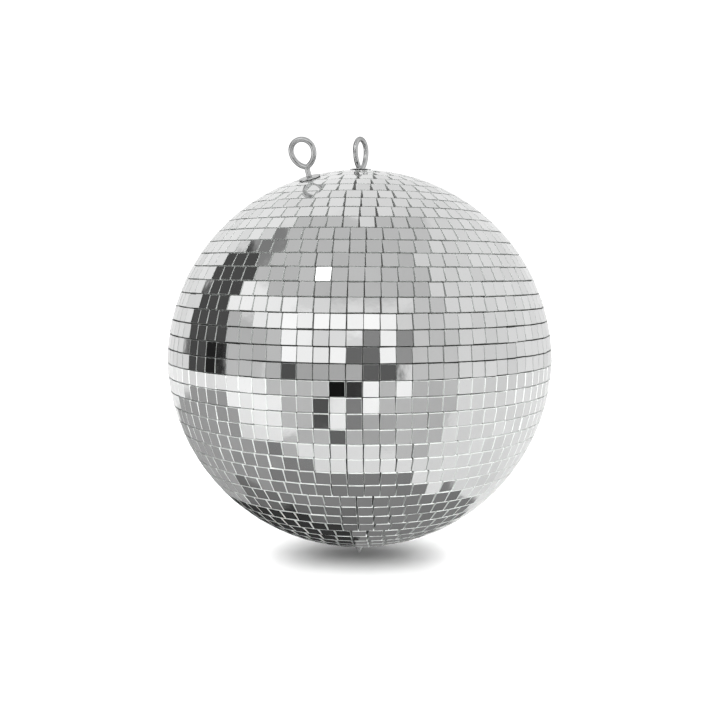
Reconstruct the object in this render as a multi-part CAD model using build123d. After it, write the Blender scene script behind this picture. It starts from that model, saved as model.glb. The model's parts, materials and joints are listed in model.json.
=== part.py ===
from build123d import *
import os
from math import acos, asin, cos, degrees, pi, radians, sin, sqrt

# Mirror ball, 30 cm across its mirror tiles.  Millimetres, +Z up.
# The origin is where a hook bears: the top of the opening of the hanging eye, on the ball's axis.
# The ball's middle lies on the axis below it, and the safety eye stands at the front left.

# ---- driving dimensions -------------------------------------------------------------------
ball_diameter = 300.0        # across the faces of the tiles at the equator
half_offset = 2.8            # each half's sphere is centred this far beyond the equator plane
tile_size = 10.0             # square mirror tile
tile_thickness = 1.8
row_pitch = 10.90            # from one row of tiles to the next, along the surface
last_row_trim = 1.65         # cut off the last row's tiles, beside the pole, to clear the boss
column_pitch = 10.75         # from one tile to the next, at the edge of the row nearest the pole
rows_per_half = 21

adhesive_thickness = 0.5
shell_thickness = 2.4
layer_gap = 0.05             # between tile, adhesive and shell, which only touch at points
lip_height = 8.0             # the lower shell's lip reaches this far into the upper shell
lip_thickness = 2.1
lip_root = 7.0               # depth of the lip's root inside the lower shell
lip_clearance = 0.5
lip_overlap = 0.4            # the lip's root grows this far into the wall it's moulded to

boss_diameter = 11.4         # moulded boss round the axis at each pole, flush with the tiles
boss_length = 12.0           # from the inside of the shell towards the middle
boss_overlap = 0.5           # the wall grows this far into the boss
front_joint = -3.4           # azimuth, from the front, of the joint where the strips of tiles begin
shifted_rows = {1: range(10, 14), -1: range(8, 12)}     # rows of each half laid half a tile on

wire_diameter = 3.9          # wire of both eyes
neck_radius = 3.0            # bend from the shank into the right flank
wire_end_gap = 0.15          # the end of the left flank is ground to clear the shank by this

# Of the two hand-bent eyes, along the wire's centre line: the radius over the top, the height of the
# middle of that arc above the seat, the radius of both flanks, and the turn of the left flank.
hanging_loop = {"top_radius": 9.05, "height": 22.2, "side_radius": 17.0, "left_turn": 56.5}
safety_loop = {"top_radius": 8.7, "height": 19.4, "side_radius": 12.6, "left_turn": 78.0}
hanging_eye_sink = 8.1       # the hanging eye's neck goes this far down into its cup washer
hanging_eye_turn = 62.5      # the hanging eye faces this far away from the front
safety_eye_azimuth = -47.0   # from the front, negative to the left
safety_eye_turn = -17.0      # the safety eye's ring is turned this far about its shank
safety_eye_row = 16          # the row of tiles, counted from the equator, that it goes through

rod_diameter = 4.0           # threaded rod through the ball, modelled to its crest diameter
running_clearance = 0.075    # radial, where the ball turns on its rod and the safety eye turns
washer_diameter = 16.5
washer_thickness = 1.0
washer_play = 0.15           # radial, round a wire or a rod
inner_washer_radius = 6.0
shell_bow = 1.3              # room for the dished wall between the inner washer and the tile's plane
cup_thickness = 0.5          # cup washer under the hanging eye
cup_mouth_radius = 5.3
cup_depth = 3.4
nut_across_flats = 7.0       # M4 nuts
nut_height = 3.2
coupling_across_flats = 8.0
coupling_length = 20.0
cone_diameter = 12.0         # pointed nut under the ball
cone_length = 10.6
cone_tip_radius = 0.4
cone_bore_depth = 5.5
crown_plate_radius = 66.0    # dished steel plate inside the top of the ball
crown_plate_thickness = 1.5
parting_gap = 0.1            # between two layers or pieces round the axis that mustn't touch
drill_length = 30.0          # long enough for every layer of the wall
drill_clearance = 0.5        # radial, of the tile and the adhesive round the safety eye
thread_run_out = 0.3         # between the lock nut and the coupling nut
shank_spare = 1.5            # the safety eye's shank stands this far out of its nut

# ---- derived dimensions -------------------------------------------------------------------
face_radius = ball_diameter / 2
tile_back_radius = face_radius - tile_thickness
adhesive_outer = tile_back_radius - layer_gap
shell_outer = adhesive_outer - adhesive_thickness
shell_inner = shell_outer - shell_thickness
plate_outer = shell_inner - layer_gap
plate_inner = plate_outer - crown_plate_thickness
pole_height = face_radius - half_offset
wire_radius = wire_diameter / 2
seat_height = pole_height + washer_thickness + layer_gap
hanging_eye_seat = seat_height - hanging_eye_sink
eye_top_inside = hanging_loop["height"] + hanging_loop["top_radius"] - wire_radius
ball_middle = -(hanging_eye_seat + eye_top_inside)
boss_bottom = pole_height - shell_thickness - boss_length
coupling_top = boss_bottom - nut_height - thread_run_out
cup_bottom = seat_height - cup_depth
cup_bottom_radius = wire_radius + washer_play
cup_wall = cup_thickness * sqrt(2)      # of the 45-degree cup, measured level
inner_washer_top = -(face_radius - plate_inner + shell_bow)     # from the tile's plane
drilled_radius = wire_radius + drill_clearance
turning_radius = wire_radius + running_clearance


def row_angle(row):
    """Angle of a row of tiles above the equator, seen from its half's sphere centre."""
    start = asin(half_offset / face_radius)
    return start + (row + 0.5) * row_pitch / face_radius


def row_trim(row):
    return last_row_trim if row == rows_per_half - 1 else 0


def tiles_in_row(row):
    """As many whole tiles as fit round the row where it is narrowest."""
    pole_edge = tile_size / 2 - row_trim(row)
    inner_radius = face_radius * cos(row_angle(row)) - pole_edge * sin(row_angle(row))
    return round(2 * pi * inner_radius / column_pitch)


def row_start(row, half):
    """Azimuth of the first tile of a row."""
    if half > 0 and row == safety_eye_row:
        return radians(safety_eye_azimuth)
    if row in shifted_rows[half]:
        return radians(front_joint)
    return radians(front_joint) + pi / tiles_in_row(row)


def surface_plane(row, azimuth, half=1):
    """Plane on the tile faces: Z outwards, X round the ball, Y upwards."""
    angle = row_angle(row)
    outward = Vector(cos(angle) * sin(azimuth), -cos(angle) * cos(azimuth), half * sin(angle))
    sideways = Vector(cos(azimuth), sin(azimuth), 0)
    centre = Vector(0, 0, ball_middle - half * half_offset)
    return Plane(origin=centre + outward * face_radius, x_dir=sideways, z_dir=outward)


def at_ball_middle(shape):
    return Pos(0, 0, ball_middle) * shape


def lower_half(shape):
    """Turn a shape made for the upper half over into the lower half."""
    return Rot(X=180) * shape


def tube(outer_radius, inner_radius, bottom, top):
    length = top - bottom
    middle = Pos(0, 0, bottom + length / 2)
    return middle * (Cylinder(outer_radius, length) - Cylinder(inner_radius, length))


def dome(outer_radius, inner_radius, hole_radius):
    """Upper half of a spherical wall with a round hole at the pole, over the equator plane."""
    def point(radius, angle):
        return (radius * cos(angle), 0, radius * sin(angle) - half_offset)

    def arc_points(radius):
        low = asin(half_offset / radius)
        high = acos(hole_radius / radius)
        return point(radius, low), point(radius, (low + high) / 2), point(radius, high)

    outside = arc_points(outer_radius)
    inside = arc_points(inner_radius)
    edges = [
        ThreePointArc(*outside),
        Line(outside[2], inside[2]),
        ThreePointArc(*reversed(inside)),
        Line(inside[0], outside[0]),
    ]
    return revolve(make_face(edges), Axis.Z, 360)


# ---- the ball's core ----------------------------------------------------------------------
def shell_with_boss(hole_radius):
    wall = dome(shell_outer, shell_inner, boss_diameter / 2 - boss_overlap)
    boss = tube(boss_diameter / 2, hole_radius, boss_bottom, pole_height)
    return wall + boss


def cup_cone(offset, top):
    """Solid cone of the cup washer's hollow, grown sideways by an offset, up to a height."""
    slope = (cup_mouth_radius - cup_bottom_radius) / cup_depth
    height = top - cup_bottom
    low_radius = cup_bottom_radius + offset
    return Pos(0, 0, cup_bottom + height / 2) * Cone(low_radius, low_radius + slope * height, height)


def cup_seat():
    """Countersink in the top boss in which the cup washer turns."""
    grown = cup_wall + parting_gap
    floor = cup_bottom - cup_thickness - parting_gap
    recess = tube(cup_bottom_radius + grown, wire_radius, floor, cup_bottom + parting_gap)
    return cup_cone(grown, seat_height) + recess


def safety_eye_hole(radius):
    plane = surface_plane(safety_eye_row, radians(safety_eye_azimuth))
    return plane * Cylinder(radius, drill_length)


def upper_shell():
    shell = at_ball_middle(shell_with_boss(turning_radius) - cup_seat())
    return shell - safety_eye_hole(turning_radius)


def lower_shell():
    shell = lower_half(shell_with_boss(rod_diameter / 2 + running_clearance))
    lip_outer = shell_inner - lip_clearance
    root = tube(shell_inner + lip_overlap, lip_outer - lip_thickness, -lip_root, 0)
    lip = tube(lip_outer, lip_outer - lip_thickness, -lip_root, lip_height)
    return at_ball_middle(shell + root + lip)


def adhesive_coat():
    inner = adhesive_outer - adhesive_thickness + layer_gap
    return dome(adhesive_outer, inner, boss_diameter / 2 + parting_gap)


def upper_adhesive_coat():
    return at_ball_middle(adhesive_coat()) - safety_eye_hole(drilled_radius)


def lower_adhesive_coat():
    return at_ball_middle(lower_half(adhesive_coat()))


def crown_plate():
    """Steel dish under the top of the upper shell, which spreads the load of both eyes."""
    dish = dome(plate_outer, plate_inner, boss_diameter / 2 + parting_gap)
    rim_height = sqrt(plate_outer**2 - crown_plate_radius**2) - half_offset
    cut = Pos(0, 0, rim_height / 2) * Box(ball_diameter, ball_diameter, rim_height)
    return at_ball_middle(dish - cut) - safety_eye_hole(turning_radius)


# ---- the mirror tiles ---------------------------------------------------------------------
def tile_row(row, half):
    """One strip of mirror tiles, a ring of separate squares round the ball."""
    count = tiles_in_row(row)
    height = tile_size - row_trim(row)
    lowered = -half * row_trim(row) / 2
    blank = Pos(0, lowered, -tile_thickness / 2) * Box(tile_size, height, tile_thickness)
    tiles = []
    for number in range(count):
        azimuth = row_start(row, half) + number * 2 * pi / count
        plane = surface_plane(row, azimuth, half)
        drilled = half > 0 and row == safety_eye_row and number == 0
        tiles.append(plane * (blank - Cylinder(drilled_radius, drill_length) if drilled else blank))
    return Compound(children=tiles)


# ---- eyes, rod and fasteners --------------------------------------------------------------
def hexagon(across_flats, hole_diameter, bottom, top):
    length = top - bottom
    prism = extrude(RegularPolygon(across_flats / 2, 6, major_radius=False), length)
    return Pos(0, 0, bottom) * (prism - Pos(0, 0, length / 2) * Cylinder(hole_diameter / 2, length))


def swept_wire(radius, path):
    start = Plane(origin=path @ 0, z_dir=path % 0)
    return sweep(start * Circle(radius), path=path)


def wire_eye(loop, shank_length):
    """Bent wire eye in its own XZ plane: shank along Z, seat at the origin, open at the left."""
    side_radius = loop["side_radius"]
    neck_cosine = (side_radius - loop["top_radius"] + neck_radius) / (side_radius + neck_radius)
    neck_turn = degrees(acos(neck_cosine))
    neck_start = loop["height"] - (side_radius + neck_radius) * sin(radians(neck_turn))
    with BuildLine(Plane.XZ) as stem:
        shank = Line((0, -shank_length), (0, neck_start))
        neck = JernArc(shank @ 1, shank % 1, neck_radius, -neck_turn)
        right = JernArc(neck @ 1, neck % 1, side_radius, neck_turn)
    with BuildLine(Plane.XZ) as ring:
        top = JernArc(right @ 1, right % 1, loop["top_radius"], 180)
        JernArc(top @ 1, top % 1, side_radius, loop["left_turn"])
    room_for_stem = swept_wire(wire_radius + wire_end_gap, stem.wire())
    left_end = Pos(0, 0, loop["height"] / 2) * Box(loop["height"] * 2, wire_diameter, loop["height"])
    ring_wire = swept_wire(wire_radius, ring.wire())
    return swept_wire(wire_radius, stem.wire()) + (ring_wire - (room_for_stem & left_end))


def hanging_eye():
    shank_length = hanging_eye_seat - (coupling_top - coupling_length / 2)
    eye = Rot(Z=hanging_eye_turn) * wire_eye(hanging_loop, shank_length)
    return at_ball_middle(Pos(0, 0, hanging_eye_seat) * eye)


def hanging_eye_cup_washer():
    """Pressed washer with a flat rim and a conical cup that takes the neck of the eye."""
    rim = Pos(0, 0, seat_height - cup_thickness / 2) * Cylinder(washer_diameter / 2, cup_thickness)
    floor_height = cup_bottom - cup_thickness / 2
    floor = Pos(0, 0, floor_height) * Cylinder(cup_bottom_radius + cup_wall, cup_thickness)
    hole = Pos(0, 0, floor_height) * Cylinder(wire_radius + parting_gap, 2 * cup_depth)
    cup = cup_cone(cup_wall, seat_height) + floor
    return at_ball_middle(rim + cup - cup_cone(0, seat_height) - hole)


def eye_lock_nut():
    return at_ball_middle(
        hexagon(nut_across_flats, wire_diameter, coupling_top, coupling_top + nut_height))


def rod_coupling_nut():
    body = hexagon(coupling_across_flats, wire_diameter, coupling_top - coupling_length, coupling_top)
    rod_hole = Pos(0, 0, coupling_top - coupling_length * 3 / 4) * Cylinder(
        rod_diameter / 2, coupling_length / 2)
    return at_ball_middle(body - rod_hole)


def centre_rod():
    top = coupling_top - coupling_length / 2
    bottom = -(seat_height + cone_bore_depth)
    length = top - bottom
    return at_ball_middle(Pos(0, 0, bottom + length / 2) * Cylinder(rod_diameter / 2, length))


def bottom_washer():
    return at_ball_middle(
        tube(washer_diameter / 2, rod_diameter / 2 + washer_play, -seat_height,
             washer_thickness - seat_height))


def bottom_cone_nut():
    cone = Cone(cone_diameter / 2, cone_tip_radius, cone_length)
    bore = Pos(0, 0, (cone_bore_depth - cone_length) / 2) * Cylinder(rod_diameter / 2, cone_bore_depth)
    upright = Pos(0, 0, seat_height + cone_length / 2) * (cone - bore)
    return at_ball_middle(lower_half(upright))


def along_safety_eye(shape):
    """Put a shape made along Z, with its zero at the tile's plane, on the safety eye's axis."""
    foot = surface_plane(safety_eye_row, radians(safety_eye_azimuth))
    across = Vector(0, 1, 0).cross(foot.z_dir).normalized()
    return Plane(origin=foot.origin, x_dir=across, z_dir=foot.z_dir) * shape


def safety_eye():
    seat = layer_gap + washer_thickness
    shank_length = washer_thickness - inner_washer_top + washer_thickness + nut_height + shank_spare
    return along_safety_eye(Pos(0, 0, seat) * Rot(Z=safety_eye_turn) * wire_eye(safety_loop, shank_length))


def safety_eye_outer_washer():
    return along_safety_eye(
        tube(washer_diameter / 2, wire_radius + washer_play, layer_gap, layer_gap + washer_thickness))


def safety_eye_inner_washer():
    bottom = inner_washer_top - washer_thickness
    return along_safety_eye(
        tube(inner_washer_radius, wire_radius + washer_play, bottom, inner_washer_top))


def safety_eye_nut():
    top = inner_washer_top - washer_thickness
    return along_safety_eye(hexagon(nut_across_flats, wire_diameter, top - nut_height, top))


# ---- write one file per piece -------------------------------------------------------------
single_pieces = [
    upper_shell, lower_shell, upper_adhesive_coat, lower_adhesive_coat, crown_plate,
    hanging_eye, hanging_eye_cup_washer, eye_lock_nut, rod_coupling_nut, centre_rod,
    bottom_washer, bottom_cone_nut,
    safety_eye, safety_eye_outer_washer, safety_eye_inner_washer, safety_eye_nut,
]

os.makedirs("parts", exist_ok=True)
for make_piece in single_pieces:
    export_step(make_piece(), f"parts/{make_piece.__name__}.step")
for half_name, half_sign in (("upper", 1), ("lower", -1)):
    for row_number in range(rows_per_half):
        export_step(tile_row(row_number, half_sign), f"parts/{half_name}_tile_row_{row_number + 1:02d}.step")
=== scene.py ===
import json
import random
from math import acos, asin, cos, pi, radians, sin, sqrt

import bpy
from mathutils import Euler, Matrix, Vector


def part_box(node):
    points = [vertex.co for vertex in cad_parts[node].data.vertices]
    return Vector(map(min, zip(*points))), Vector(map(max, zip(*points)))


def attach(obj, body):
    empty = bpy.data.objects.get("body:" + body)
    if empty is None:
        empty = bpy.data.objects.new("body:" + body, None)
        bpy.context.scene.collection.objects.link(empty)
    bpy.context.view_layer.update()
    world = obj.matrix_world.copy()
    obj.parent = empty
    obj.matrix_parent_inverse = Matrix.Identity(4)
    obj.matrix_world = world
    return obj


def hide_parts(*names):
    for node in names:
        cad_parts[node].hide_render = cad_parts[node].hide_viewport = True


# Looks of a 30 cm mirror ball.  Metres, in the CAD frame: the origin is where a hook bears in the
# hanging eye, +Z is up the ball's axis and -Y is the front.
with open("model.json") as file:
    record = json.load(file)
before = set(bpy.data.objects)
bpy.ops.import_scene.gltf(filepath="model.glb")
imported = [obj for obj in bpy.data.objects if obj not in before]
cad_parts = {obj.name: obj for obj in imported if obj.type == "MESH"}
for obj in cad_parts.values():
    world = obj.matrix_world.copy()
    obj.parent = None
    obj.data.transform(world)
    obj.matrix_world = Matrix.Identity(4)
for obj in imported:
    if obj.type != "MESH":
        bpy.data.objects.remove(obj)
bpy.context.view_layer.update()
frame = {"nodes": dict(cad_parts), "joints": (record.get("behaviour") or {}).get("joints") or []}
random.seed(11)

# ---- driving sizes, the same as the CAD's ---------------------------------------------------
face_radius = 0.150
half_offset = 0.0028
tile_size = 0.010
tile_thickness = 0.0018
row_pitch = 0.01090
last_row_trim = 0.00165
column_pitch = 0.01075
rows_per_half = 21
front_joint = radians(-3.4)
shifted_rows = {1: range(10, 14), -1: range(8, 12)}
safety_eye_row = 16
safety_eye_azimuth = radians(-47)

wire_radius = 0.00195
wire_end_rounding = 0.0005
neck_radius = 0.003          # of the bend between an eye's shank and its right flank
hanging_loop = {"top_radius": 0.00905, "height": 0.0222, "side_radius": 0.017, "left_turn": radians(56.5)}
safety_loop = {"top_radius": 0.0087, "height": 0.0194, "side_radius": 0.0126, "left_turn": radians(78)}
hanging_eye_turn = radians(62.5)
safety_eye_turn = radians(-17)
safety_shank = 0.0145

pinhole = 0.00001            # radius that a turned piece keeps on its axis
washer_radius = 0.00825
washer_thickness = 0.001
washer_chamfer = 0.00015
washer_play = 0.00015
rod_radius = 0.002
cup_thickness = 0.0005
cup_chamfer = 0.000105
cup_depth = 0.0034
cup_mouth_radius = 0.0053
cup_bottom_radius = 0.0021
cone_radius = 0.006
cone_length = 0.0106
cone_rim_chamfer = 0.0003
cone_tip_radius = 0.0004
cone_tip_rounding = [(0.8, 0.00008), (1.3, 0.0004)]    # share of the tip's radius, height above the tip
cone_bore_radius = rod_radius + 0.00005
cone_bore_depth = 0.0055

# ---- places read from the frame -------------------------------------------------------------
ball_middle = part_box("upper_shell")[0].z
joints = {joint["name"]: joint for joint in frame["joints"]}
safety_eye_seat = Vector(joints["safety_eye_turn"]["pos_m"])
safety_eye_axis = Vector(joints["safety_eye_turn"]["axis"])
nut_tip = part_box("bottom_cone_nut")[0].z


# ---- material helpers -----------------------------------------------------------------------
class Nodes:
    """A material or world node tree, with one short call for each node and link."""

    def __init__(self, tree):
        self.tree = tree

    def add(self, kind, inputs=None, **settings):
        node = self.tree.nodes.new(kind)
        for name, value in settings.items():
            setattr(node, name, value)
        for socket, value in (inputs or {}).items():
            self.feed(node.inputs[socket], value)
        return node

    def feed(self, socket, value):
        if isinstance(value, bpy.types.NodeSocket):
            self.tree.links.new(value, socket)
        else:
            socket.default_value = value

    def math(self, operation, first, second=0.0, third=0.0):
        node = self.add("ShaderNodeMath", {0: first, 1: second, 2: third}, operation=operation)
        return node.outputs[0]

    def smooth_step(self, value, low, high):
        """Soft step from 0 at low to 1 at high."""
        node = self.add(
            "ShaderNodeMapRange",
            {"Value": value, "From Min": low, "From Max": high},
            interpolation_type="SMOOTHSTEP",
        )
        return node.outputs["Result"]

    def range(self, value, low, high):
        """Spread a value from 0 to 1 over low to high."""
        node = self.add("ShaderNodeMapRange", {"Value": value, "To Min": low, "To Max": high})
        return node.outputs["Result"]

    def mix(self, share, first, second):
        node = self.add("ShaderNodeMix", data_type="FLOAT")
        self.feed(node.inputs[0], share)
        self.feed(node.inputs[2], first)
        self.feed(node.inputs[3], second)
        return node.outputs[0]

    def grey(self, value, tint=(1.0, 1.0, 1.0)):
        """Colour from one brightness and a slight tint."""
        parts = [self.math("MULTIPLY", value, share) for share in tint]
        node = self.add("ShaderNodeCombineColor", {0: parts[0], 1: parts[1], 2: parts[2]})
        return node.outputs[0]

    def noise(self, scale, detail=3.0, roughness=0.5):
        """Cloudy value from 0 to 1 in the piece's own space; scale is in lumps per metre."""
        place = self.add("ShaderNodeTexCoord").outputs["Object"]
        node = self.add(
            "ShaderNodeTexNoise",
            {"Vector": place, "Scale": scale, "Detail": detail, "Roughness": roughness},
        )
        return node.outputs["Fac"]

    def bump(self, height, distance, strength=1.0):
        """Normal of a surface with lumps of this height in metres."""
        node = self.add("ShaderNodeBump", {"Height": height, "Distance": distance, "Strength": strength})
        return node.outputs["Normal"]


def new_material(name, **surface):
    """Material with one Principled shader; a number or colour in surface goes straight on its socket."""
    material = bpy.data.materials.new(name)
    material.use_nodes = True
    nodes = Nodes(material.node_tree)
    shader = material.node_tree.nodes["Principled BSDF"]
    for socket, value in surface.items():
        shader.inputs[socket.replace("_", " ")].default_value = value
    return material, nodes, shader


def mirror_face():
    """Silvered glass: a mirror a little wavy and smudged, each tile of a slightly different tone."""
    material, nodes, shader = new_material(
        "mirror_face", Metallic=1.0, Coat_Weight=0.6, Coat_Roughness=0.02, Coat_IOR=1.5)
    tone = nodes.add("ShaderNodeAttribute", attribute_name="tile_tone").outputs["Fac"]
    smudge = nodes.noise(90.0, 5.0, 0.62)
    brightness = nodes.math("SUBTRACT", nodes.range(tone, 0.74, 0.84), nodes.range(smudge, 0.0, 0.04))
    nodes.feed(shader.inputs["Base Color"], nodes.grey(brightness, (0.995, 1.0, 0.998)))
    nodes.feed(shader.inputs["Roughness"], nodes.range(smudge, 0.012, 0.07))
    wave = nodes.noise(150.0, 2.0, 0.4)
    nodes.feed(shader.inputs["Normal"], nodes.bump(wave, 0.00004, 0.5))
    return material


def glass_edge():
    """Cut and ground edge of a glass tile."""
    material, nodes, shader = new_material("glass_edge", Metallic=0.0, IOR=1.5, Specular_IOR_Level=0.5)
    grain = nodes.noise(2600.0, 4.0, 0.6)
    nodes.feed(shader.inputs["Base Color"], nodes.grey(nodes.range(grain, 0.7, 0.95), (0.97, 1.0, 0.98)))
    nodes.feed(shader.inputs["Roughness"], nodes.range(grain, 0.2, 0.45))
    nodes.feed(shader.inputs["Normal"], nodes.bump(grain, 0.00008, 0.6))
    return material


def tile_backing():
    """Grey paint over the silvering on a tile's back."""
    material, nodes, shader = new_material("tile_backing")
    grain = nodes.noise(900.0, 3.0)
    nodes.feed(shader.inputs["Base Color"], nodes.grey(nodes.range(grain, 0.22, 0.34)))
    nodes.feed(shader.inputs["Roughness"], nodes.range(grain, 0.5, 0.8))
    return material


def adhesive():
    """Cured white glue in the joints, with ridges; its colour is kept near black as a painted shade of
    the deep joints.
    """
    material, nodes, shader = new_material("adhesive")
    lumps = nodes.noise(420.0, 5.0, 0.6)
    # Painted shade: a dark grey far below white glue, standing in for the shade deep in the joints.
    nodes.feed(shader.inputs["Base Color"], nodes.grey(nodes.range(lumps, 0.06, 0.22), (1.0, 0.99, 0.97)))
    nodes.feed(shader.inputs["Roughness"], nodes.range(lumps, 0.45, 0.8))
    nodes.feed(shader.inputs["Normal"], nodes.bump(lumps, 0.0005, 0.8))
    return material


def core_plastic():
    """Moulded dark plastic of the two half shells."""
    material, nodes, shader = new_material("core_plastic")
    grain = nodes.noise(1500.0, 3.0)
    nodes.feed(shader.inputs["Base Color"], nodes.grey(nodes.range(grain, 0.02, 0.045)))
    nodes.feed(shader.inputs["Roughness"], nodes.range(grain, 0.45, 0.7))
    nodes.feed(shader.inputs["Normal"], nodes.bump(grain, 0.0001, 0.5))
    return material


def zinc(name, dark, light, rough_low, rough_high, grain_size, painted_rim_darkness=0.45):
    """Zinc-plated steel with a fine grain and cloudy patches, and a painted shade that darkens its colour
    where it is seen edge on.
    """
    material, nodes, shader = new_material(name, Metallic=1.0)
    clouds = nodes.noise(220.0, 4.0, 0.6)
    grain = nodes.noise(grain_size, 3.0, 0.5)
    # Painted shade: the colour is darkened by the viewing angle towards the rims that are seen edge on.
    facing = nodes.add("ShaderNodeLayerWeight", {"Blend": 0.5}).outputs["Facing"]
    painted_rim_shade = nodes.mix(nodes.smooth_step(facing, 0.25, 0.85), 1.0, painted_rim_darkness)
    tone = nodes.math("MULTIPLY", nodes.range(clouds, dark, light), painted_rim_shade)
    nodes.feed(shader.inputs["Base Color"], nodes.grey(tone, (0.99, 1.0, 1.0)))
    nodes.feed(shader.inputs["Roughness"], nodes.range(clouds, rough_low, rough_high))
    nodes.feed(shader.inputs["Normal"], nodes.bump(grain, 0.00006, 0.5))
    return material


def paint_cad_node(node, material):
    mesh = frame["nodes"][node].data
    mesh.materials.clear()
    mesh.materials.append(material)


def place_piece(piece, body, node):
    """Let a piece ride on a body in the place of a CAD node."""
    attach(piece, body)
    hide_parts(node)


# ---- mesh helpers ---------------------------------------------------------------------------
def new_piece(name, points, faces, materials, face_materials=None, smooth=False):
    mesh = bpy.data.meshes.new(name)
    mesh.from_pydata(points, [], faces)
    for material in materials:
        mesh.materials.append(material)
    if face_materials:
        mesh.polygons.foreach_set("material_index", face_materials)
    mesh.polygons.foreach_set("use_smooth", [smooth] * len(mesh.polygons))
    mesh.update()
    piece = bpy.data.objects.new(name, mesh)
    bpy.context.scene.collection.objects.link(piece)
    return piece


def lathe(name, profile, material, place, sides=96, sharp=radians(30)):
    """Turned piece: closed profile of (radius, height) points, spun round the Z axis of a place."""
    points = []
    faces = []
    count = len(profile)
    for side in range(sides):
        angle = side * 2 * pi / sides
        points += [(r * cos(angle), r * sin(angle), height) for r, height in profile]
    for side in range(sides):
        here = side * count
        there = (side + 1) % sides * count
        for step in range(count):
            following = (step + 1) % count
            faces.append((here + step, there + step, there + following, here + following))
    piece = new_piece(name, [place @ Vector(p) for p in points], faces, [material], smooth=True)
    piece.data.set_sharp_from_angle(angle=sharp)
    return piece


def chamfered_ring(inner, outer, low, high, chamfer):
    """Profile of a flat washer with broken edges."""
    return [
        (inner + chamfer, low), (outer - chamfer, low), (outer, low + chamfer),
        (outer, high - chamfer), (outer - chamfer, high), (inner + chamfer, high),
        (inner, high - chamfer), (inner, low + chamfer),
    ]


def cup_washer_profile():
    """Pressed washer with a flat rim and a cone down to the shank; its rim's top is at zero."""
    floor = -cup_depth - cup_thickness
    wall = cup_thickness * sqrt(2)
    slope = (cup_mouth_radius - cup_bottom_radius) / cup_depth
    rim_root = cup_bottom_radius + wall + slope * (cup_depth - cup_thickness)
    edge = cup_chamfer
    return [
        (cup_bottom_radius, floor), (cup_bottom_radius + wall, floor),
        (cup_bottom_radius + wall, -cup_depth), (rim_root, -cup_thickness),
        (washer_radius - edge, -cup_thickness), (washer_radius, edge - cup_thickness),
        (washer_radius, -edge), (washer_radius - edge, 0.0),
        (cup_mouth_radius + edge, 0.0), (cup_mouth_radius, -edge),
        (cup_bottom_radius, -cup_depth),
    ]


def cone_nut_profile():
    """Pointed nut with a broken rim, a rounded tip and a blind bore; its flat end is at zero."""
    slope = (cone_radius - cone_tip_radius) / cone_length
    rim = cone_rim_chamfer
    tip = [(cone_tip_radius * share, rise - cone_length) for share, rise in cone_tip_rounding]
    return [
        (pinhole, -cone_length), *tip,
        (cone_radius - slope * rim, -rim), (cone_radius - rim, 0.0),
        (cone_bore_radius, 0.0), (cone_bore_radius, -cone_bore_depth),
        (pinhole, -cone_bore_depth),
    ]


# ---- mirror tiles ---------------------------------------------------------------------------
def row_angle(row):
    return asin(half_offset / face_radius) + (row + 0.5) * row_pitch / face_radius


def row_trim(row):
    return last_row_trim if row == rows_per_half - 1 else 0


def tiles_in_row(row):
    pole_edge = tile_size / 2 - row_trim(row)
    inner_radius = face_radius * cos(row_angle(row)) - pole_edge * sin(row_angle(row))
    return round(2 * pi * inner_radius / column_pitch)


def row_start(row, half):
    if half > 0 and row == safety_eye_row:
        return safety_eye_azimuth
    if row in shifted_rows[half]:
        return front_joint
    return front_joint + pi / tiles_in_row(row)


def tile_place(row, azimuth, half):
    """Matrix of a tile's face: Z outwards, X round the ball, Y upwards."""
    angle = row_angle(row)
    outward = Vector((cos(angle) * sin(azimuth), -cos(angle) * cos(azimuth), half * sin(angle)))
    sideways = Vector((cos(azimuth), sin(azimuth), 0))
    turn = Matrix((sideways, outward.cross(sideways), outward)).transposed().to_4x4()
    centre = Vector((0, 0, ball_middle - half * half_offset))
    return Matrix.Translation(centre + outward * face_radius) @ turn


corner_cut = 0.00022
edge_bevel = 0.00008
drilled_radius = 0.00245
drilled_sides = 32
width_error = (-0.00004, 0.00016)      # least and most that half a cut tile is over its nominal width
height_error = (-0.00006, 0.00010)     # and over its nominal height
lay_shift = 0.00010          # how far a hand-laid tile strays along the ball
lay_twist = radians(0.5)     # and how far it turns in its own plane
lay_tilt = radians(0.42)     # and tips out of it
lay_sink = 0.00004           # how far every tile lies below its nominal place
loose_tile_share = 0.03      # some tiles are tipped further
loose_tile_tilt = radians(1.5)
MIRROR, EDGE, BACK = 0, 1, 2


def tile_outline(half_width, half_height):
    """Corners of a cut tile: a rectangle with its corners just broken."""
    cut = corner_cut
    return [
        (half_width - cut, -half_height), (half_width, -half_height + cut),
        (half_width, half_height - cut), (half_width - cut, half_height),
        (-half_width + cut, half_height), (-half_width, half_height - cut),
        (-half_width, -half_height + cut), (-half_width + cut, -half_height),
    ]


def band(first, second, count):
    """Faces between two rings of points that start at these numbers."""
    rings = []
    for corner in range(count):
        beside = (corner + 1) % count
        rings.append((first + corner, first + beside, second + beside, second + corner))
    return rings


def plain_tile(half_width, half_height):
    """Points and (face, material) pairs of a tile with its face in the XY plane."""
    points = []
    levels = [(-tile_thickness, 0.0), (-edge_bevel, 0.0), (0.0, edge_bevel)]
    for height, inset in levels:
        points += [(x, y, height) for x, y in tile_outline(half_width - inset, half_height - inset)]
    count = len(points) // len(levels)
    faces = [(face, EDGE) for face in band(0, count, count) + band(count, 2 * count, count)]
    faces.append((tuple(range(2 * count, 3 * count)), MIRROR))
    faces.append((tuple(range(count - 1, -1, -1)), BACK))
    return points, faces


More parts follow.
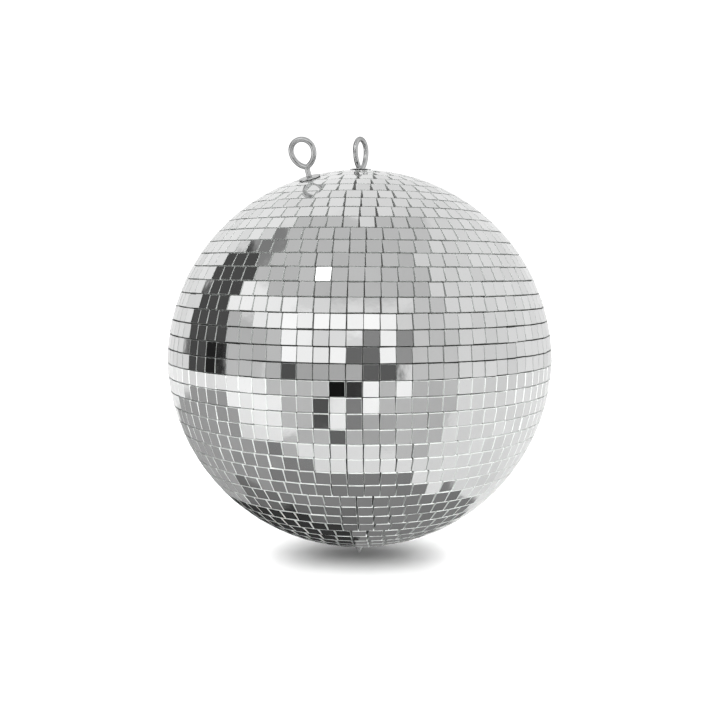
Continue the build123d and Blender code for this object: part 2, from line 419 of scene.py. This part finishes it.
def drilled_tile(half_width, half_height):
    """The tile that the safety eye's shank goes through, with a round hole in its middle."""
    count = drilled_sides
    points = []

    def add_ring(height, inset, radius=None):
        for number in range(count):
            x = cos((number + 0.5) * 2 * pi / count)
            y = sin((number + 0.5) * 2 * pi / count)
            reach = radius or min((half_width - inset) / abs(x), (half_height - inset) / abs(y))
            points.append((x * reach, y * reach, height))

    add_ring(-tile_thickness, 0.0, drilled_radius)
    add_ring(-tile_thickness, 0.0)
    add_ring(-edge_bevel, 0.0)
    add_ring(0.0, edge_bevel)
    add_ring(0.0, 0.0, drilled_radius)
    materials = [BACK, EDGE, EDGE, MIRROR, EDGE]
    faces = []
    for ring, material in enumerate(materials):
        following = (ring + 1) % len(materials)
        faces += [(face, material) for face in band(ring * count, following * count, count)]
    return points, faces


def hand_laid(corners):
    """Small error of one tile, a shift, a twist and a tip, sunk so that no corner stands proud."""
    tilt = loose_tile_tilt if random.random() < loose_tile_share else lay_tilt
    shift = Matrix.Translation((random.gauss(0, lay_shift), random.gauss(0, lay_shift), 0))
    tip = Euler((random.gauss(0, tilt), random.gauss(0, tilt), random.gauss(0, lay_twist)))
    laid = shift @ tip.to_matrix().to_4x4()
    proud = max((laid @ Vector(corner)).z for corner in corners)
    return Matrix.Translation((0, 0, -proud - lay_sink)) @ laid


def build_tile_row(row, half, materials):
    count = tiles_in_row(row)
    lowered = -half * row_trim(row) / 2
    points = []
    faces = []
    face_materials = []
    tones = []
    for number in range(count):
        half_width = tile_size / 2 + random.uniform(*width_error)
        half_height = (tile_size - row_trim(row)) / 2 + random.uniform(*height_error)
        azimuth = row_start(row, half) + number * 2 * pi / count
        if half > 0 and row == safety_eye_row and number == 0:
            tile_points, tile_faces = drilled_tile(half_width, half_height)
            laid = Matrix.Translation((0, 0, -lay_sink))
        else:
            tile_points, tile_faces = plain_tile(half_width, half_height)
            laid = hand_laid(tile_points)
        place = tile_place(row, azimuth, half) @ Matrix.Translation((0, lowered, 0)) @ laid
        first = len(points)
        points += [place @ Vector(point) for point in tile_points]
        faces += [tuple(first + corner for corner in face) for face, material in tile_faces]
        face_materials += [material for face, material in tile_faces]
        tones += [random.random()] * len(tile_points)
    name = f"{'upper' if half > 0 else 'lower'}_tile_row_{row + 1:02d}"
    piece = new_piece("mirror_" + name, points, faces, materials, face_materials)
    tone = piece.data.attributes.new("tile_tone", "FLOAT", "POINT")
    tone.data.foreach_set("value", tones)
    place_piece(piece, "ball", name)
    return piece


# ---- wire eyes ------------------------------------------------------------------------------
wire_sides = 32
bend_steps = 12
right_flank_steps = 20
top_steps = 40
left_flank_steps = 24


def arc(centre, radius, start, end, steps):
    """Points and headings along an arc in the eye's plane."""
    turn = 1 if end > start else -1
    result = []
    for step in range(1, steps + 1):
        angle = start + (end - start) * step / steps
        point = (centre[0] + radius * cos(angle), centre[1] + radius * sin(angle))
        result.append((point, (-turn * sin(angle), turn * cos(angle))))
    return result


def eye_path(loop, shank_length):
    """Centre line of a wire eye: shank, bend, right flank, round top and open left flank."""
    top_radius = loop["top_radius"]
    side_radius = loop["side_radius"]
    height = loop["height"]
    neck_turn = acos((side_radius - top_radius + neck_radius) / (side_radius + neck_radius))
    neck_start = height - (side_radius + neck_radius) * sin(neck_turn)
    flank_shift = side_radius - top_radius
    path = [((0, -shank_length), (0, 1)), ((0, 0), (0, 1)), ((0, neck_start), (0, 1))]
    path += arc((neck_radius, neck_start), neck_radius, pi, pi - neck_turn, bend_steps)
    path += arc((-flank_shift, height), side_radius, -neck_turn, 0, right_flank_steps)
    path += arc((0, height), top_radius, 0, pi, top_steps)
    path += arc((flank_shift, height), side_radius, pi, pi + loop["left_turn"], left_flank_steps)
    return path


def wire_eye(name, loop, shank_length, place, material):
    """Round wire swept along the path, with both ends rounded over."""
    sides = wire_sides
    rounding = wire_end_rounding
    path = eye_path(loop, shank_length)
    stations = [(path[0][0], path[0][1], wire_radius - rounding)]
    for point, heading in path:
        stations.append((point, heading, wire_radius))
    end_point, end_heading = path[-1]
    for share in (0.5, 1.0):
        further = (end_point[0] + end_heading[0] * rounding * share,
                   end_point[1] + end_heading[1] * rounding * share)
        stations.append((further, end_heading, wire_radius - rounding * share**2))
    points = []
    for point, heading, radius in stations:
        across = Vector((heading[1], 0, -heading[0]))
        for side in range(sides):
            angle = side * 2 * pi / sides
            ring = across * (radius * cos(angle)) + Vector((0, radius * sin(angle), 0))
            points.append(place @ (Vector((point[0], 0, point[1])) + ring))
    faces = []
    for station in range(len(stations) - 1):
        low = station * sides
        for side in range(sides):
            beside = (side + 1) % sides
            faces.append((low + side, low + beside, low + sides + beside, low + sides + side))
    faces.append(tuple(range(sides - 1, -1, -1)))
    last = (len(stations) - 1) * sides
    faces.append(tuple(range(last, last + sides)))
    piece = new_piece(name, points, faces, [material], smooth=True)
    piece.data.set_sharp_from_angle(angle=radians(50))
    return piece


# ---- build the pieces -----------------------------------------------------------------------
def build_tile_rows():
    materials = [mirror_face(), glass_edge(), tile_backing()]
    rows = {1: [], -1: []}
    for half, pieces in rows.items():
        for row in range(rows_per_half):
            pieces.append(build_tile_row(row, half, materials))
    return rows


def build_hanging_eye(material):
    neck = -(hanging_loop["height"] + hanging_loop["top_radius"] - wire_radius)
    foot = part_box("hanging_eye")[0].z
    place = Matrix.Translation((0, 0, neck)) @ Matrix.Rotation(hanging_eye_turn, 4, "Z")
    eye = wire_eye("hanging_wire_eye", hanging_loop, neck - foot, place, material)
    place_piece(eye, "hanger", "hanging_eye")


def build_safety_eye(wire_material, washer_material):
    """The eye beside the axis and the washer on the tile that its shank goes through."""
    across = Vector((0, 1, 0)).cross(safety_eye_axis).normalized()
    turn = Matrix((across, safety_eye_axis.cross(across), safety_eye_axis)).transposed().to_4x4()
    place = Matrix.Translation(safety_eye_seat) @ turn @ Matrix.Rotation(safety_eye_turn, 4, "Z")
    eye = wire_eye("safety_wire_eye", safety_loop, safety_shank, place, wire_material)
    place_piece(eye, "safety_eye", "safety_eye")
    ring = chamfered_ring(
        wire_radius + washer_play, washer_radius, -washer_thickness, 0.0, washer_chamfer)
    washer = lathe("safety_eye_washer", ring, washer_material, place)
    place_piece(washer, "safety_eye", "safety_eye_outer_washer")


def build_axis_hardware(material):
    """Bottom washer, cup washer of the hanging eye and pointed nut, all on the ball's axis."""
    low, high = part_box("bottom_washer")
    ring = chamfered_ring(rod_radius + washer_play, washer_radius, low.z, high.z, washer_chamfer)
    bottom_washer = lathe("bottom_flat_washer", ring, material, Matrix.Identity(4))
    place_piece(bottom_washer, "hanger", "bottom_washer")

    cup_place = Matrix.Translation((0, 0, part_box("hanging_eye_cup_washer")[1].z))
    cup_washer = lathe("hanging_eye_cup", cup_washer_profile(), material, cup_place)
    place_piece(cup_washer, "hanger", "hanging_eye_cup_washer")

    nut_place = Matrix.Translation((0, 0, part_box("bottom_cone_nut")[1].z))
    cone_nut = lathe("pointed_nut", cone_nut_profile(), material, nut_place)
    place_piece(cone_nut, "hanger", "bottom_cone_nut")


zinc_wire = zinc("zinc_wire", 0.52, 0.74, 0.08, 0.18, 1800.0, 0.22)
zinc_hardware = zinc("zinc_hardware", 0.62, 0.84, 0.08, 0.2, 2400.0)
plate_steel = zinc("plate_steel", 0.42, 0.55, 0.30, 0.45, 700.0)
glue = adhesive()
plastic = core_plastic()

tile_rows = build_tile_rows()
build_hanging_eye(zinc_wire)
build_safety_eye(zinc_wire, zinc_hardware)
build_axis_hardware(zinc_hardware)

cad_node_materials = {
    "upper_adhesive_coat": glue,
    "lower_adhesive_coat": glue,
    "upper_shell": plastic,
    "lower_shell": plastic,
    "crown_plate": plate_steel,
    "eye_lock_nut": zinc_hardware,
    "rod_coupling_nut": zinc_hardware,
    "centre_rod": zinc_hardware,
    "safety_eye_inner_washer": zinc_hardware,
    "safety_eye_nut": zinc_hardware,
}
for node, material in cad_node_materials.items():
    paint_cad_node(node, material)


# ---- studio ---------------------------------------------------------------------------------
tile_reflectance = 0.80
room_grey = 0.84             # where there is no panel
panel_edge = 0.6             # half the width of a panel's soft edge, in degrees
cloud_scale = 4.0            # uneven light on the panels
cloud_dimmest = 0.86
cloud_brightest = 1.14

floor_reach = 14.0
floor_grey = 0.1             # the strong floor light makes it white
backdrop_reach = 12.0
backdrop_rings = 16
backdrop_sides = 48
backdrop_grey = 0.9
backdrop_glow = 1.2

floor_light_elevation = radians(34)
floor_light_angle = radians(34)
floor_light_energy = 58.0
soft_box_height = 1.0

camera_distance = 0.7505     # from the ball's middle
camera_elevation = radians(5.56)
camera_roll = radians(-0.29)
camera_sensor = 36.0         # millimetres, as the lens
camera_lens = 47.20556
camera_shift = (-0.000278, -0.001669)


def radiance(grey):
    """Light that looks like this display grey, 0 to 1, in a mirror tile."""
    linear = ((grey + 0.055) / 1.055) ** 2.4
    return linear / tile_reflectance


# Panels, walls and gaps round the ball: azimuth from and to (0 at the front, positive to the right),
# elevation from and to, in degrees, the grey they show in a mirror, and how far the edges lean.
studio_panels = [
    (-125, 125, 60, 95, 0.74, 0.0),      # ceiling
    (-90, 60, 37, 95, 0.73, 0.0),        # ceiling, lower in front
    (-200, -122, 15, 74, 0.87, 0.0),     # left wall
    (57, 200, -56, 56, 0.83, 0.0),       # right wall
    (100, 200, -30, 45, 0.85, 0.0),
    (-200, -80, -42, -13, 0.60, 0.0),    # floor far left
    (-200, -82, -13, -5, 0.88, 0.0),
    (-120, -86, -5, 44, 0.28, 0.0),      # dark gap beside the left wall
    (-112, -90, 44, 58, 0.50, 0.0),
    (-98, -85, -5, 9, 0.13, 0.0),
    (-85, -35, -5, 21, 0.72, 0.0),       # front left
    (-88, -44, 21, 37, 0.92, 0.10),      # soft light over the front
    (-46, 25, 19, 34, 0.97, 0.0),
    (-44, -5, 5, 21, 0.95, 0.0),
    (-32, -7, 13, 23, 0.86, 0.0),
    (10, 21, 5, 26, 0.96, 0.0),
    (30, 57, -5, 36, 0.76, 0.0),
    (22, 31, 6, 23, 0.56, 0.0),          # darker patches in front
    (4, 12, 14, 24, 0.52, 0.0),
    (-6, 13, 4, 14, 0.40, 0.0),
    (-50, 24, -5, 4, 0.66, 0.0),
    (0, 24, -5, 4, 0.35, 0.0),
    (-42, -34, -5, 2, 0.30, 0.0),
    (-57, -50, -5, 5, 0.92, 0.0),
    (25, 32, -5, 4, 0.92, 0.0),
    (-58, 58, -62, -5, 0.71, 0.0),       # ground in front
    (-60, 62, -63, -50, 0.86, 0.0),
    (-45, 20, -52, -43, 0.86, 0.0),
    (-82, -52, -30, -11, 0.93, 0.0),
    (-76, -46, -40, -20, 0.92, 0.0),
    (-17, -9, -17, -5, 0.08, 0.0),
    (-8, 0, -17, -5, 0.20, 0.0),
    (-28, -17, -34, -19, 0.32, 0.0),
    (-17, -9, -36, -18, 0.93, 0.0),
    (-9, -1, -36, -18, 0.48, 0.0),
    (-20, -8, -44, -37, 0.38, 0.0),
    (1, 10, -26, -7, 0.96, 0.0),
    (20, 28, -17, -7, 0.93, 0.0),
    (2, 20, -45, -26, 0.65, 0.0),
    (-125, -58, -95, -42, 0.49, 0.0),    # shadow under the ball
    (-62, -42, -95, -54, 0.50, 0.0),
    (-200, 200, -95, -62, 0.49, 0.0),
    (-12, 4, -68, -60, 0.86, 0.0),
    (-135, -62, -54, -40, 0.57, 0.0),
    (-200, -118, -95, -40, 0.41, 0.0),
    (-400, -182.6, -66, -18, 0.2, 0.88),     # dark corner far left
    (96, 200, -95, -55, 0.48, 0.0),
    (213.5, 700, -62, -15, 0.46, -1.78),     # ground far right
    (-43, -28, 50, 59, 1.25, 0.0),       # bare lamp
]


def build_studio_world():
    """Light of the studio, as the tiles mirror it: soft panels on a grey room. It lights nothing matt."""
    world = bpy.data.worlds.new("studio")
    bpy.context.scene.world = world
    world.use_nodes = True
    world.node_tree.nodes.clear()
    nodes = Nodes(world.node_tree)
    direction = nodes.add("ShaderNodeTexCoord").outputs["Generated"]
    parts = nodes.add("ShaderNodeSeparateXYZ", {0: direction}).outputs
    to_degrees = 180 / pi
    back = nodes.math("MULTIPLY", parts[1], -1.0)
    azimuth = nodes.math("MULTIPLY", nodes.math("ARCTAN2", parts[0], back), to_degrees)
    elevation = nodes.math("MULTIPLY", nodes.math("ARCSINE", parts[2]), to_degrees)
    light = radiance(room_grey)
    soft = panel_edge
    for left, right, low, high, grey, lean in studio_panels:
        slid = azimuth
        if lean:
            slid = nodes.math("MULTIPLY_ADD", elevation, lean, azimuth)
        inside = nodes.math("MULTIPLY", nodes.smooth_step(slid, left - soft, left + soft),
                            nodes.smooth_step(slid, right + soft, right - soft))
        inside = nodes.math("MULTIPLY", inside, nodes.smooth_step(elevation, low - soft, low + soft))
        inside = nodes.math("MULTIPLY", inside, nodes.smooth_step(elevation, high + soft, high - soft))
        light = nodes.mix(inside, light, radiance(grey))
    cloud = nodes.add("ShaderNodeTexNoise", {"Vector": direction, "Scale": cloud_scale, "Detail": 3.0})
    unevenness = nodes.range(cloud.outputs["Fac"], cloud_dimmest, cloud_brightest)
    light = nodes.math("MULTIPLY", light, unevenness)
    shade = nodes.add("ShaderNodeBackground", {"Color": nodes.grey(light), "Strength": 1.0})
    output = nodes.add("ShaderNodeOutputWorld")
    nodes.feed(output.inputs["Surface"], shade.outputs[0])
    world.cycles_visibility.diffuse = False


def soft_box(name, place, width, power, lit=None):
    """Soft light aimed at the ball's middle, not mirrored; it can be kept to some pieces alone.

    The place is measured from the ball's middle.
    """
    data = bpy.data.lights.new(name, "AREA")
    data.shape = "RECTANGLE"
    data.size = width
    data.size_y = soft_box_height
    data.energy = power
    lamp = bpy.data.objects.new(name, data)
    bpy.context.scene.collection.objects.link(lamp)
    lamp.location = Vector((0, 0, ball_middle)) + Vector(place)
    lamp.rotation_euler = (-Vector(place)).to_track_quat("-Z", "Y").to_euler()
    lamp.visible_glossy = False
    if lit:
        keep_to(lamp, lit)


def keep_to(lamp, lit):
    """Let a lamp light these objects alone."""
    receivers = bpy.data.collections.new(lamp.name + "_receivers")
    for thing in lit:
        receivers.objects.link(thing)
    lamp.light_linking.receiver_collection = receivers


def light_floor(floor):
    """Low soft light on the floor alone, from the front and the back.

    Both together miss only the spot under the ball.
    """
    for side in (1, -1):
        data = bpy.data.lights.new("floor_light", "SUN")
        data.energy = floor_light_energy
        data.angle = floor_light_angle
        lamp = bpy.data.objects.new("floor_light", data)
        bpy.context.scene.collection.objects.link(lamp)
        rays = Vector((0, side * cos(floor_light_elevation), -sin(floor_light_elevation)))
        lamp.rotation_euler = rays.to_track_quat("-Z", "Y").to_euler()
        keep_to(lamp, [floor])


def pale_material(name, grey, glow=0.0):
    """Matt paper with faint fibres, which can glow."""
    material, nodes, shader = new_material(name, Roughness=0.9, Specular_IOR_Level=0.0)
    fibre = nodes.noise(60.0, 4.0)
    nodes.feed(shader.inputs["Base Color"], nodes.grey(nodes.range(fibre, grey * 0.97, grey * 1.03)))
    shader.inputs["Emission Color"].default_value = (1, 1, 1, 1)
    shader.inputs["Emission Strength"].default_value = glow
    return material


def build_floor():
    """Floor at the tip of the nut; the tiles mirror the studio below the horizon instead of it."""
    reach = floor_reach
    corners = [(-reach, -reach, nut_tip), (reach, -reach, nut_tip), (reach, reach, nut_tip),
               (-reach, reach, nut_tip)]
    floor = new_piece("floor", corners, [(0, 1, 2, 3)], [pale_material("floor_paper", floor_grey)])
    floor.visible_glossy = False
    floor.visible_diffuse = False
    return floor


def dome_point(ring, side):
    polar = pi * ring / backdrop_rings
    azimuth = 2 * pi * side / backdrop_sides
    direction = Vector((sin(polar) * cos(azimuth), sin(polar) * sin(azimuth), cos(polar)))
    return direction * backdrop_reach


def build_backdrop():
    """White dome behind everything, seen only directly."""
    sides = backdrop_sides
    points = [dome_point(ring, side) for ring in range(backdrop_rings + 1) for side in range(sides)]
    faces = []
    for ring in range(backdrop_rings):
        for side in range(sides):
            beside = (side + 1) % sides
            here = ring * sides
            below = here + sides
            faces.append((here + side, here + beside, below + beside, below + side))
    white = pale_material("backdrop_white", backdrop_grey, backdrop_glow)
    backdrop = new_piece("backdrop", points, faces, [white])
    backdrop.visible_glossy = False
    backdrop.visible_diffuse = False
    backdrop.visible_shadow = False
    backdrop.visible_transmission = False


def build_camera():
    data = bpy.data.cameras.new("camera")
    data.sensor_width = camera_sensor
    data.lens = camera_lens
    data.shift_x, data.shift_y = camera_shift
    camera = bpy.data.objects.new("camera", data)
    bpy.context.scene.collection.objects.link(camera)
    middle = Vector((0, 0, ball_middle))
    towards_camera = Vector((0, -cos(camera_elevation), sin(camera_elevation)))
    camera.location = middle + towards_camera * camera_distance
    aim = (middle - camera.location).to_track_quat("-Z", "Y")
    camera.rotation_euler = (aim.to_matrix() @ Matrix.Rotation(-camera_roll, 3, "Z")).to_euler()
    bpy.context.scene.camera = camera


build_studio_world()
soft_box("top_light", (0.2, -1.7, 1.9), 1.6, 40.0)
soft_box("low_front_light", (0.35, -2.1, 0.5), 0.5, 65.0, tile_rows[-1])
soft_box("weak_front_light", (0.0, -2.2, 0.25), 1.6, 12.0, tile_rows[1])
light_floor(build_floor())
build_backdrop()
build_camera()
bpy.context.scene.view_settings.view_transform = "Standard"
